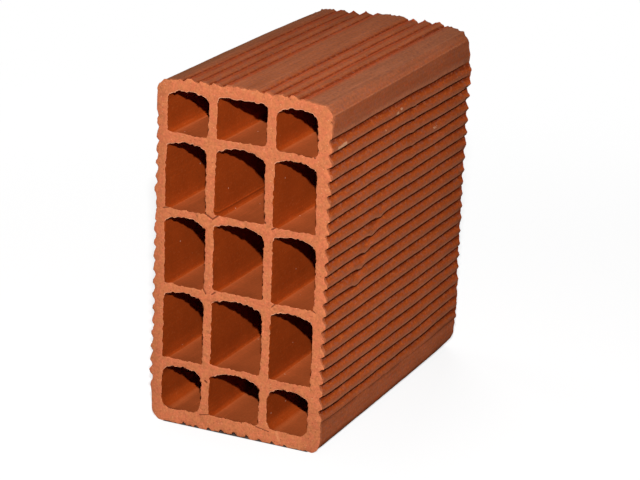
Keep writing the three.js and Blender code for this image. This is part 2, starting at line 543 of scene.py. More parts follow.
def rib_sag(level, along):
    """How far the right side's ribs sank while the clay was soft, in millimetres.

    The lowest sank most, by up to 3.1, and less near the ends. The uppermost sank by 1.1 towards
    the back, and towards the front those at half height stand 0.4 too high.
    """
    low = 2.75 * np.clip((118 - level) / 90, 0, 1) * (1 - 0.75 * np.exp(-along / 12))
    low = low * (1 - 0.9 * smooth_step(150, 240, along))
    lowest = 1.1 * bell(level - 30, 6) * smooth_step(140, 190, along)
    high = 1.1 * smooth_step(160, 195, level) * smooth_step(125, 185, along)
    middle = 0.4 * bell(level - 137, 18) * smooth_step(150, 110, along)
    return low + lowest + high - middle


def comb_drift(share):
    """How far the top's combs lie to the right of their place, at a share of the length."""
    return 2.8 * share + 0.8 * share ** 4 - 1.3


def top_drift(across, up, along):
    """The slide of the whole top, which fades out towards its corners."""
    on_top = smooth_step(height - 7, height - 3, up) * smooth_step(64, 50, across)
    return on_top * comb_drift(along / length)


print("the lowest rib sank, mm:", np.round(rib_sag(30, np.linspace(0, length, 5)), 2).tolist())

# %% [markdown]
# Bricks are stacked, slid and knocked. The corners are rubbed in, more towards the back end,
# where this brick was handled most, and so is a part of the top's left comb. At the back end of
# the right side the ribs are swollen and their notches half closed. These are bell curves round
# the places that were hit, times a share of the length.

# %% Worn corners and the back end
# Worn places of the top, as seen from its end: each an amount, a place across and a reach. Where
# the amount is negative, the top stands up instead.
worn_comb = [(1.1, -36, 11), (-0.5, 4, 9)]
worn_ribs = [(1.9, 19.5, 3.5), (0.9, -28, 3)]


def corner_wear(across, up, along):
    """How far the corners were rubbed in, in millimetres: more towards the back end.

    Round each corner of the box it is a bell of the distance to it, times a power of the share
    of the length. The left comb of the top is worn down in the same way, and so are two of the
    top's ribs, while its middle band stands up a little.
    """
    side = np.where(across > 0, 1, -1)
    lower = np.hypot(across - side * width / 2, up) / 12
    upper = np.hypot(across - side * width / 2, up - height)
    back = along / length
    comb, ribs = bells(across, worn_comb), bells(across, worn_ribs)
    top = (comb + ribs * np.exp((along - length) / 20)) * (up > height - 6)
    low = 1.7 * back * np.exp(-lower ** 2) + 1.5 * back ** 6 * np.exp(-3 * lower ** 2)
    high = 2.1 * back ** np.where(across > 0, 2, 4) * bell(upper, 13)
    return high + back ** 2 * top + low


def back_closing(up):
    """How far the right side's notches are closed at the back end, at each level.

    The lowest and the uppermost are closed, and two stand wider open than the rest.
    """
    two_open = 0.45 * bell(up - 199, 8)
    ends = 0.3 * smooth_step(208, 217, up) + 0.38 * smooth_step(62, 48, up)
    return 0.7 - two_open - 0.08 * smooth_step(165, 155, up) + ends


def back_flare(across, up, along):
    """How far the back end of the right side swells out, in millimetres.

    Its ribs are round there: they swell most in the middle of a crest, and not at its rim.
    """
    on_side = window(up, 8, 18, height - 30, height - 14)
    above_notch = (up - side_bottom_band) % notch_pitch
    most = 0.45 + 0.85 * smooth_step(158, 166, up) + 0.8 * bell(up - 207, 5)
    crest = most * bell(above_notch - 6.0, 2.4)
    rim = 2.4 * np.minimum(1 - back_closing(up), 0.4)
    rim = rim * bell(above_notch - 2.2, 1.6)
    from_back = length - along
    flare = 0.4 * np.exp(-from_back / 9) + (crest - rim) * np.exp(-from_back / 6)
    return (across > 0) * on_side * flare


print("lower corners worn at the back, mm:", np.round(corner_wear(width / 2, 0, length), 2))

# %% [markdown]
# The wire that cut the brick smeared clay into the mouths of the notches and tore the arrises, the
# long edges between the skin and the cut. Both fade within a few millimetres of an end. A bevel
# would make the edge round and even, which is what a torn edge isn't.

# %% Arrises
def arris_fill(across, up, along):
    """How much of a notch's depth the wire smeared shut near the ends.

    It is most at the back of the right side.
    """
    at_back = along > length / 2
    sides = np.where(across < 0, 0.28, np.where(at_back, back_closing(up), 0.12))
    top = 0.35 - at_back * (0.45 - 0.6 * bell(across + 32, 4))
    most = np.where(up > height - 8, top, np.where(up < 8, 0.12, sides))
    return most * np.exp(-end_distance(along) / 7)


def arris_tear(across, up, along):
    """How far the outer arrises are torn in, in millimetres: quick noise, most on the top."""
    places = (across, up, along)
    most = np.where(up > height - 8, 0.9, 0.45)
    quick = noise(places, (1.7, 1.7, 1.6), 7) + 0.5 * noise(places, (4.0, 4.0, 3.0), 8)
    return most * quick * np.exp(-end_distance(along) / 1.3)


print("arris, mm:", np.round(arris_tear(width / 2, np.arange(100, 110, 2.0), 0), 2).tolist())

# %% [markdown]
# Now the outline is carried along the brick. At each of 54 stations, close together near the ends,
# it is drawn again with the shifts and the wear of that place.

# %% The drawn skin
skin_front = np.array([0, 0.5, 1.5, 3.5, 7.0])
skin_stations = np.concatenate([
    skin_front, np.linspace(11.5, length - 11.5, 44), length - skin_front[::-1]]) / length
crest_clearance = 0.04
crest_sink = 0.12
skin_grain = 0.10
skin_spread = 6


def skin_ring(along):
    """The outline at each place along the brick, as an array of shape (places, points, 2).

    A point is its place on the outline, plus the slide of its rib. It lies deeper by a small
    uneven sink, the corner wear and the torn arris, and less deep by the flare of the back end
    and by what fills its notch near the ends. The upper left corner hangs out to the left.
    """
    across, up, slide_across, slide_up, polish, groove = outline.T
    along = along[:, None]
    right = across > 0
    level_shift = rib_shift(up + np.where(right, 0, 500), along)
    level_shift = level_shift - right * (drag_marks(up, along) + rib_sag(up, along))
    cross_shift = rib_shift(across + np.where(up > height / 2, 1000, 1500), along)
    places = (across, up, along)
    rough = skin_grain * (1 + noise(places, (2.5, 2.5, 6), 6))
    sink = crest_clearance + crest_sink * (1 + noise(places, (7, 7, 22), 5)) + rough
    inwards = sink + corner_wear(across, up, along) - back_flare(across, up, along)
    inwards = inwards - groove * arris_fill(across, up, along) + arris_tear(across, up, along)
    hang = 0.8 * smooth_step(-45, -60, across) * bell(up - 238, 8)
    cross_shift = slide_across * cross_shift + top_drift(across, up, along) - hang
    shift = np.stack([cross_shift, slide_up * level_shift], axis=-1)
    ring = outline[:, :2] + shift - inwards[..., None] * outward(outline[:, :2], skin_spread)
    ring[..., 1] = np.maximum(ring[..., 1], crest_clearance)
    return ring


skin = skin_ring(skin_stations * length)
print("skin grid:", skin.shape)

# %% [markdown]
# A wire cut both ends, so they are nearly flat, with torn grains and a few chips along the
# edges. The relief of an end is one function of the place on it. The skin, the cells and the
# cut face all read it, so they meet exactly. The back end was cut a little longer, and unevenly.

# %% The relief of a cut end
cut_clearance = 0.05
back_overrun = 1.5
# Cracks of the front end: each a start and a stop, as x and z, and half its width.
cracks = [
    ((-28.3, 158.4), (-21.8, 155.2), 0.45),
    ((-17.3, 157.9), (-21.2, 154.7), 0.50),
    ((-59.0, 156.7), (-54.8, 157.8), 0.35),
    ((17.0, 159.4), (18.4, 159.0), 0.60),
    ((23.5, 155.2), (26.8, 157.4), 0.40),
    ((51.7, 212.6), (53.4, 210.1), 0.50),
    ((-27.2, 104.0), (-24.9, 100.4), 0.40),
    ((-20.2, 100.7), (-17.8, 102.6), 0.45),
    ((25.5, 100.2), (27.9, 102.7), 0.35),
    ((24.9, 47.8), (27.4, 49.5), 0.35),
    ((-23.8, 36.4), (-22.4, 35.6), 0.65),
    ((56.3, 102.9), (58.0, 102.0), 0.40),
    ((-27.1, 10.6), (-19.3, 12.2), 0.30),
    ((16.4, 10.7), (26.5, 9.1), 0.28),
    ((53.0, 228.2), (53.5, 226.9), 0.55),
    ((64.4, 236.9), (66.0, 234.4), 0.45),
]


def crack_depth(across, up, start, stop, half_width):
    """Depth of one crack, in millimetres: a bell across the line from its start to its stop."""
    run, rise = stop[0] - start[0], stop[1] - start[1]
    share = ((across - start[0]) * run + (up - start[1]) * rise) / (run ** 2 + rise ** 2)
    share = np.clip(share, 0, 1)
    away = np.hypot(across - start[0] - share * run, up - start[1] - share * rise)
    return 1.1 * half_width * bell(away, 1.6 * half_width)


def end_relief(across, up, end):
    """How deep the cut face lies behind the brick's end plane, in millimetres.

    It is a clearance, a slow wave, a torn grain, rare pits where the noise is high, and on the
    front end the cracks. On the back end the overrun is taken off.
    """
    places = (across, up)
    wave = 0.12 * (1 + noise(places, 21.0, 31 + end))
    grain = 0.09 * (1 + noise(places, 2.1, 33 + end))
    pit = 0.5 * smooth_step(0.62, 0.85, noise(places, 3.4, 35 + end))
    overrun = end * (back_overrun + 0.5 * noise(places, 34.0, 37))
    split = (1 - end) * sum(crack_depth(across, up, *crack) for crack in cracks)
    return cut_clearance + wave + grain + pit + split - overrun


def end_places(points, end, inward=0):
    """The y of points of an end, from their x and z: 0 is the front end and 1 the back."""
    depth = end_relief(points[..., 0], points[..., 1], end) + inward
    return (length / 2 - depth) * (2 * end - 1)


sample = np.random.default_rng(1).uniform((-60, 5), (60, 245), (2000, 2))
print("relief, mm:", np.round(np.percentile(end_relief(*sample.T, 0), (5, 50, 95)), 2))

# %% [markdown]
# A cell is an upright opening with a flat floor, four round corners and a slightly arched top. A
# boolean cut would leave faces of all shapes round it, so its outline is drawn point by point
# instead. It is cut at the middles of its corners into four stretches, and each stretch gets as
# many steps as the part of the outer outline or the web line that it faces.

# %% Forms of the cells
# The crown of the arch, and the radii of the corners above and below.
cell_forms = {
    "tall": (2.4, 4.2, 1.8),
    "top_corner": (1.6, 6.4, 4.0),
    "top_middle": (0.5, 3.8, 2.6),
    "bottom_corner": (1.4, 8.2, 8.2),
    "bottom_middle": (4.6, 3.6, 2.8),
}
# How far the upper right corner of a tall cell hangs down, column by column.
corner_droop = [1.0, 1.1, 0.4]
# How much higher than its row the ceiling of a cell is, by column and row.
ceiling_changes = {(1, 0): 1.2, (2, 0): -0.8}
turning_weight = 2.5
arc_points = 25
arch_points = 31


def arc(centre, radius, start, stop):
    """Points on a circle's arc, from one angle to another, in degrees."""
    turn = np.radians(np.linspace(start, stop, arc_points))
    return np.asarray(centre) + radius * np.stack([np.cos(turn), np.sin(turn)], axis=1)


def spread_points(points, steps):
    """A stretch with a set number of steps, closer together where it turns.

    The steps are even in length plus turning_weight times the angle turned.
    """
    ahead = np.diff(points, axis=0)
    lengths = np.linalg.norm(ahead, axis=1)
    heading = np.unwrap(np.arctan2(ahead[:, 1], ahead[:, 0]))
    turned = np.concatenate([[0], np.abs(np.diff(heading))])
    travel = np.concatenate([[0], np.cumsum(lengths + turning_weight * turned)])
    wanted = np.linspace(0, travel[-1], steps + 1)
    return np.stack([np.interp(wanted, travel, points[:, axis]) for axis in (0, 1)], axis=1)


print("quarter turn:", np.round(spread_points(arc((0, 0), 1, 0, 90), 3), 2).tolist())

# %% [markdown]
# The webs are not quite straight: the soft clay let them sway and sag by up to a millimetre. Noise
# would make them wavy, but each web here leans its own way. So the amounts are two small grids,
# one value for each web at each row, and straight lines join them.

# %% Sway of the webs
# How far each upright wall stands to the right of its place, in millimetres, row by row from
# the floor up: the left wall, the two webs and the right wall.
sway_places = [column_edges[0][0], *upright_lines, column_edges[2][1]]
sway_levels = row_floors + np.array(row_heights) / 2
sways = [
    [0.1, 0.6, 0.2, -0.4, 0.6],
    [-0.5, 0.0, -0.2, -0.5, 0.2],
    [-0.1, 0.5, 0.1, -0.8, -0.4],
    [-0.4, 0.8, 1.0, -0.8, -0.8],
]
# How far each floor stands above its place, column by column, from the lowest floor up, and
# last the ceiling of the top row.
rise_places = [sum(edges) / 2 for edges in column_edges]
rise_levels = [row_floors[0], *shelf_lines, height - top_wall]
rises = [
    [-0.3, 0.3, 0.5, 0.7, -0.4, -0.9],
    [-0.3, 0.5, 0.7, 0.4, 0.2, -0.9],
    [-0.8, -0.3, 0.6, 0.3, -0.5, 0.0],
]


def between_places(across, up, places, levels, values):
    """A value at each point, by straight lines between the places and levels of a small grid."""
    columns = np.stack([np.interp(up, levels, column) for column in values])
    share = np.interp(across, places, np.arange(len(places)))
    first = np.minimum(share.astype(int), len(places) - 2)
    points = np.arange(len(up))
    lower, upper = columns[first, points], columns[first + 1, points]
    return lower + (upper - lower) * (share - first)


middle_sway = between_places(np.zeros(5), sway_levels, sway_places, sway_levels, sways)
print("sway in the middle, mm:", np.round(middle_sway, 2).tolist())

# %% [markdown]
# With these, one function draws any of the fifteen cells. It makes its four stretches one by one,
# because each faces something else, and then joins them.

# %% Outline of a cell
def join_stretches(stretches):
    """One closed loop from four stretches that share their end points."""
    return np.concatenate([stretch[:-1] for stretch in stretches])


def cell_outline(column, row):
    """The floor, right, top and left of one cell as a closed loop, counter-clockwise.

    The top is a parabola: its height falls by crown * ((x - middle) / half) ** 2. The corners
    above turn only until they have its slope, 2 * crown / half.
    """
    left, right = column_edges[column]
    bottom = row_floors[row] + (middle_column_rise if column == 1 else 0)
    place = {0: "bottom", 4: "top"}.get(row)
    kind = "tall" if place is None else place + ("_middle" if column == 1 else "_corner")
    crown, high_radius, low_radius = cell_forms[kind]
    top = bottom + row_heights[row] + ceiling_changes.get((column, row), 0)
    flat = (right - left) / 2 - high_radius
    slope = math.atan2(2 * crown, flat + 0.35 * high_radius)
    half = flat + high_radius * math.sin(slope)
    level = top - crown - high_radius * math.cos(slope)
    across = np.linspace(half, -half, arch_points + 2)[1:-1]
    arch = np.stack([across + (left + right) / 2, top - crown * (across / half) ** 2], axis=1)
    low_left = (left + low_radius, bottom + low_radius)
    low_right = (right - low_radius, bottom + low_radius)
    high_left = (left + high_radius, level)
    high_right = (right - high_radius, level)
    turned = math.degrees(slope)
    floor = [arc(low_left, low_radius, 225, 270), arc(low_right, low_radius, 270, 315)]
    right_wall = [arc(low_right, low_radius, 315, 360), arc(high_right, high_radius, 0, 45)]
    roof = [
        arc(high_right, high_radius, 45, 90 - turned),
        arch,
        arc(high_left, high_radius, 90 + turned, 135)]
    left_wall = [arc(high_left, high_radius, 135, 180), arc(low_left, low_radius, 180, 225)]
    droop = corner_droop[column] if place is None else 0
    stretches = []
    step_counts = 2 * [column_steps[column], row_steps[row]]
    for stretch, steps in zip((floor, right_wall, roof, left_wall), step_counts):
        points = spread_points(np.concatenate(stretch), steps)
        near = smooth_step(right - 10, right - 1, points[:, 0])
        points[:, 1] -= droop * near * smooth_step(top - 14, top - 4, points[:, 1])
        sway = between_places(*points.T, sway_places, sway_levels, sways)
        rise = between_places(*points.T, rise_places, rise_levels, rises)
        stretches.append(points + np.stack([sway, rise], axis=1))
    return join_stretches(stretches)


print("steps round a tall corner cell:", len(cell_outline(0, 2)))

# %% [markdown]
# A cell's walls wander slowly along the brick, and near the ends they are ragged where the wire
# caught grains. The wire also dragged the shelves up with it, so a shelf's cut edge stands like a
# lip above the rest of the shelf. So a cell is its outline carried along the brick, with more
# stations near the ends than in the dark middle.

# %% Walls of the cells
cell_front = np.array([0, 0.4, 1.2, 3, 8, 24, 60])
cell_stations = np.concatenate([cell_front, [length / 2], length - cell_front[::-1]]) / length
wall_spread = 2
rag_reach = 2.2
lip_reach = 3.0
ceiling_reach = 22.0
shelf_lips = [2.6, 3.3, 3.4, 2.6, 1.6, 0]


def shelf_lip(column, row):
    """How far the cut edge of the shelf under a cell stands above the rest of the shelf."""
    return shelf_lips[row] + (1.7 if column == 1 and row in (3, 4) else 0)


def cell_wall(column, row):
    """One cell as (stations, points, 2): its outline, moved into or out of the clay.

    The move is slow noise, plus a quick noise that fades as exp(-distance from the end / reach)
    and is strongest on the arched top. Away from the ends, the floor and the ceiling sink by the
    lips of their shelves: the floor within a few millimetres, and the ceiling more slowly.
    """
    loop = cell_outline(column, row)
    into_clay = outward(loop, wall_spread)
    low, high = loop[:, 1].min(), loop[:, 1].max()
    share = smooth_step(low + 3, high - 6, loop[:, 1])
    burr = 0.25 * smooth_step(low + 1.0, low, loop[:, 1])
    along = cell_stations[:, None] * length
    places = (*loop.T, along)
    slow = 0.36 * noise(places, (26, 26, 110), 41) + 0.1 * noise(places, (7, 7, 60), 42)
    from_end = end_distance(along)
    near_end = np.exp(-from_end / rag_reach)
    torn = 0.18 * noise(places, (4.0, 4.0, 2.5), 43) + 0.75 * noise(places, (1.8, 1.8, 1.5), 44)
    torn = torn * (0.78 + 0.22 * smooth_step(high - 8, high - 3, loop[:, 1]))
    crumbs = 0.1 + burr * (1 + 1.6 * noise(places, (9.0, 9.0, 9.0), 45))
    move = slow + near_end * (torn - crumbs)
    walls = loop + move[..., None] * into_clay
    floor_sink = shelf_lip(column, row) * (1 - share) * (1 - np.exp(-from_end / lip_reach))
    ceiling_sink = shelf_lip(column, row + 1) * share * (1 - np.exp(-from_end / ceiling_reach))
    walls[..., 1] -= floor_sink + ceiling_sink
    return walls


cells = {(column, row): cell_wall(column, row) for row in range(5) for column in range(3)}
cell_points = sum(wall.shape[0] * wall.shape[1] for wall in cells.values())
print("cells:", len(cells), "points:", cell_points)

# %% [markdown]
# Now the surfaces get their third coordinate. The skin and the cell walls are rings of points,
# one ring per station, and each line along the brick runs from its own place on the front end
# to its own place on the back end. The arrises fall back a little, unevenly, as torn clay does.

# %% Rings in space
skin_fall = 0.32
cell_fall = 0.14


def in_space(rings, stations, fall, seed):
    """Rings of x and z as points in space.

    The y of ring s is (1 - s) * front + s * back, where front and back lie on the cut ends,
    deeper by fall * (1 + noise).
    """
    rough = [fall * (1 + noise(rings[end].T, 4.0, seed - end)) for end in (0, -1)]
    front = end_places(rings[0], 0, rough[0])
    back = end_places(rings[-1], 1, rough[1])
    along = front + (back - front) * stations[:, None]
    return np.stack([rings[..., 0], along, rings[..., 1]], axis=-1)


skin_space = in_space(skin, skin_stations, skin_fall, 51)
cell_space = {key: in_space(wall, cell_stations, cell_fall, 55) for key, wall in cells.items()}
print("front arris, mm:", np.round([skin_space[0, :, 1].min(), skin_space[0, :, 1].max()], 2))

# %% [markdown]
# A cut end is a web of clay between fifteen openings. Each opening gets a tile that reaches to
# the middle of the webs round it, or to the outer arris. Between the opening's edge and the
# tile's edge lie a few rings, so the surface flows round every opening and needs no filling in.

# %% Tiles of the cut ends
ring_shares = np.array([0, 0.1, 0.32, 0.68, 0.9, 1])


def arris_start(column, row):
    """Where on the outline two lines of the web meet the arris, or None where they cross inside.

    Column and row count the lines from 0 at the left and at the floor. The stretches are counted
    counter-clockwise from the lower left corner: 3 below, 5 right, 3 above and 5 left.
    """
    stretch = {0: 16 - row, 3: 3 + row}.get(column)
    stretch = {0: column, 5: 11 - column}.get(row, stretch)
    return None if stretch is None else stretch_starts[stretch]


def crossing(column, row, end):
    """The point in space where two lines of the web cross, or where they meet the arris."""
    start = arris_start(column, row)
    if start is not None:
        return skin_space[-end][start % len(outline)]
    middle = np.array([upright_lines[column - 1], 0, shelf_lines[row - 1]])
    middle[1] = end_places(middle[None, ::2], end)[0]
    return middle


def tile_side(first, second, steps, end):
    """One side of a tile in space: a stretch of the arris, or a straight row of points."""
    start = arris_start(*first)
    if start is not None and arris_start(*second) is not None:
        return skin_space[-end][(start + np.arange(steps + 1)) % len(outline)]
    begin, finish = crossing(*first, end), crossing(*second, end)
    line = begin + (finish - begin) * np.linspace(0, 1, steps + 1)[:, None]
    line[1:-1, 1] = end_places(line[1:-1, ::2], end)
    return line


def tile_edge(column, row, end):
    """The four sides of a tile in space, counter-clockwise from its lower left corner."""
    corners = [(column + across, row + up) for across, up in ((0, 0), (1, 0), (1, 1), (0, 1))]
    steps = 2 * [column_steps[column], row_steps[row]]
    return [tile_side(corners[side], corners[(side + 1) % 4], steps[side], end)
            for side in range(4)]


def tile(column, row, end):
    """The rings of one tile in space.

    Ring s is (1 - s) * opening + s * edge in x and z, and lies on the cut end.
    """
    inner = cell_space[column, row][-end]
    outer = join_stretches(tile_edge(column, row, end))
    rings = inner + (outer - inner) * ring_shares[:, None, None]
    rings[1:-1, :, 1] = end_places(rings[1:-1, :, ::2], end)
    return rings


tiles = {(key, end): tile(*key, end) for key in cells for end in (0, 1)}
print("tiles:", len(tiles))

# %% [markdown]
# Every surface is now a grid that closes on itself: rings of points. One function turns such a
# grid into faces, and the only question is which way round they go, so that they face outwards.

# %% Faces from rings
def ring_faces(rings, points, flip):
    """Four-cornered faces of a grid of rings that closes round, as numbers of its points."""
    ring, point = np.meshgrid(np.arange(rings - 1), np.arange(points), indexing="ij")
    after = (point + 1) % points
    corners = [ring * points + point, ring * points + after,
               (ring + 1) * points + after, (ring + 1) * points + point]
    faces = np.stack(corners, axis=-1).reshape(-1, 4)
    return faces[:, ::-1] if flip else faces


cut_kind, skin_kind, cell_kind = 0, 1, 2
surfaces = [(skin_space, skin_kind, True)]
surfaces += [(wall, cell_kind, False) for wall in cell_space.values()]
surfaces += [(rings, cut_kind, end == 0) for (key, end), rings in tiles.items()]

vertices, faces, kinds = [], [], []
start = 0
for rings, kind, flip in surfaces:
    vertices.append(rings.reshape(-1, 3) * MM)
    faces.append(ring_faces(rings.shape[0], rings.shape[1], flip) + start)
    kinds.append(np.full(len(faces[-1]), kind))
    start += rings.shape[0] * rings.shape[1]
vertices, faces, kinds = (np.concatenate(part) for part in (vertices, faces, kinds))
skin_marks = np.zeros((2, len(vertices)))
skin_marks[:, :skin_space[..., 0].size] = np.tile(outline[:, 4:].T, len(skin_stations))
print("points:", len(vertices), "faces:", len(faces))

# %% [markdown]
# Two more marks are distances in millimetres, and materials read them. On the walls and floor of
# a cell it is the distance from its lower corners, near which light thrown between wall and floor
# is painted. On a cut end it is the distance from the arched top of the nearest opening, along
# which a rim highlight is painted, with a line of painted shade beside it.

# %% Distances for the finishes
far_away = 30.0


def corner_distance(column, row, wall):
    """How far each point of a cell's walls lies from its nearer lower corner."""
    left, right = column_edges[column]
    floor = wall[..., 2].min(axis=1, keepdims=True)
    aside = np.minimum(wall[..., 0] - left, right - wall[..., 0])
    return np.clip(np.maximum(aside, wall[..., 2] - floor), 0, far_away)


def arch_distance(rings):
    """How far each point of a tile lies from its opening, and more where that isn't arched."""
    opening = rings[0]
    top = opening[:, 2].max()
    arched = smooth_step(top - 9, top - 4, opening[:, 2])
    return np.clip(np.linalg.norm(rings - opening, axis=-1) + 4 * (1 - arched), 0, far_away)


from_corner = {key: corner_distance(*key, wall) for key, wall in cell_space.items()}
from_arch = {tile_key: arch_distance(rings) for tile_key, rings in tiles.items()}
on_skin = np.full(skin_space[..., 0].size, far_away)
corner_marks = [on_skin] + [marks.ravel() for marks in from_corner.values()]
corner_marks += [np.tile(from_corner[key][-end], len(ring_shares)) for key, end in tiles]
arch_marks = [on_skin] + [np.tile(from_arch[key, 0][0], len(cell_stations)) for key in cells]
arch_marks += [marks.ravel() for marks in from_arch.values()]
marks = {
    "polish": skin_marks[0],
    "groove": skin_marks[1],
    "corner": np.concatenate(corner_marks),
    "arch": np.concatenate(arch_marks),
}
print("marks:", {name: round(float(values.mean()), 2) for name, values in marks.items()})

# %% [markdown]
# Whole arrays go into the mesh at once, which is far quicker than point by point. The grids were
# made so that their edges lie on each other, so merging the points that coincide closes the
# brick: one watertight shell. Its sharp edges are marked by their angle, and the rest is smooth.

# %% The clay mesh
weld_distance = 2e-6
sharp_angle = math.radians(38)

mesh = bpy.data.meshes.new("clay_brick")
mesh.vertices.add(len(vertices))
mesh.vertices.foreach_set("co", vertices.astype(np.float32).ravel())
mesh.loops.add(faces.size)
mesh.loops.foreach_set("vertex_index", faces.astype(np.int32).ravel())
mesh.polygons.add(len(faces))
mesh.polygons.foreach_set("loop_start", np.arange(0, faces.size, 4, dtype=np.int32))
mesh.polygons.foreach_set("material_index", kinds.astype(np.int32))
mesh.update(calc_edges=True)
for name, values in marks.items():
    mesh.attributes.new(name, "FLOAT", "POINT").data.foreach_set("value", values)

shell = bmesh.new()
shell.from_mesh(mesh)
bmesh.ops.remove_doubles(shell, verts=shell.verts, dist=weld_distance)
open_edges = sum(not edge.is_manifold for edge in shell.edges)
volume = shell.calc_volume(signed=True)
shell.to_mesh(mesh)
shell.free()
mesh.polygons.foreach_set("use_smooth", np.ones(len(mesh.polygons), dtype=bool))
mesh.set_sharp_from_angle(angle=sharp_angle)
mesh.validate()
triangles = sum(len(face.vertices) - 2 for face in mesh.polygons)
print("open edges:", open_edges, "litres:", round(volume * 1000, 3), "triangles:", triangles)

brick = bpy.data.objects.new("fired_clay_brick", mesh)
bpy.context.scene.collection.objects.link(brick)
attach(brick, "root")
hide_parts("brick")

# %% [markdown]
# The finishes are built from nodes, but node graphs are hard to read. So a small class wraps
# the output of a node and lets it be added and multiplied like a number: each sum adds its own
# Math node. With this, a mask for the chips of a brick is one line.

# %% Fields
class Field:
    """A value, colour or vector that varies over a surface: one output of one node.

    The reflected operators let a number come first, as in 1 - mask.
    """

    def __init__(self, graph, socket):
        self.graph = graph
        self.socket = socket

    def math(self, operation, *values):
        """A Math node with this operation on the given values."""
        inputs = dict(enumerate(values))
        return self.graph.node("ShaderNodeMath", {"operation": operation}, inputs)

    def __add__(self, other):
        return self.math("ADD", self, other)

    def __sub__(self, other):
        return self.math("SUBTRACT", self, other)

    def __rsub__(self, other):
        return self.math("SUBTRACT", other, self)

    def __mul__(self, other):
        return self.math("MULTIPLY", self, other)

    def __truediv__(self, other):
        return self.math("DIVIDE", self, other)

    def __pow__(self, other):
        return self.math("POWER", self, other)

    def __abs__(self):
        return self.math("ABSOLUTE", self)

    __radd__ = __add__
    __rmul__ = __mul__

    def larger(self, other):
        """The larger of two values."""
        return self.math("MAXIMUM", self, other)

    def smaller(self, other):
        """The smaller of two values."""
        return self.math("MINIMUM", self, other)

    def past_point(self):
        """What is left of a value when its whole number is taken away, from 0 up to 1."""
        return self.math("FRACT", self)

    def between(self, low, high):
        """0 at low and below, 1 at high and above, smooth between. Low may be above high."""
        settings = {"interpolation_type": "SMOOTHSTEP"}
        return self.graph.node("ShaderNodeMapRange", settings, {0: self, 1: low, 2: high})

    def window(self, outer_low, low, high, outer_high):
        """1 from low to high, and 0 outside the two outer values, smooth between."""
        return self.between(outer_low, low) * self.between(outer_high, high)


class Graph:
    """A node graph that is being put together."""

    def __init__(self, tree):
        self.tree = tree

    def node(self, kind, settings, inputs, output=0):
        """Adds one node: its settings first, then a value or a link for each named input."""
        made = self.tree.nodes.new(kind)
        for name, value in settings.items():
            setattr(made, name, value)
        for key, value in inputs.items():
            if isinstance(value, Field):
                self.tree.links.new(value.socket, made.inputs[key])
            else:
                made.inputs[key].default_value = value
        return made if output is None else Field(self, made.outputs[output])

    def link(self, field, node_name, socket_name):
        """Links a field to a socket of a node that is in the graph already."""
        self.tree.links.new(field.socket, self.tree.nodes[node_name].inputs[socket_name])


print("a field can:", [name for name in vars(Field) if not name.startswith("_")])

# %% [markdown]
# A finish is one material. It is a graph of nodes that knows its place on the brick: the Object
# coordinates in millimetres, so patterns never slide and their sizes are real ones. Image textures
# would need the brick unwrapped, and clay has no pattern that noise can't give.

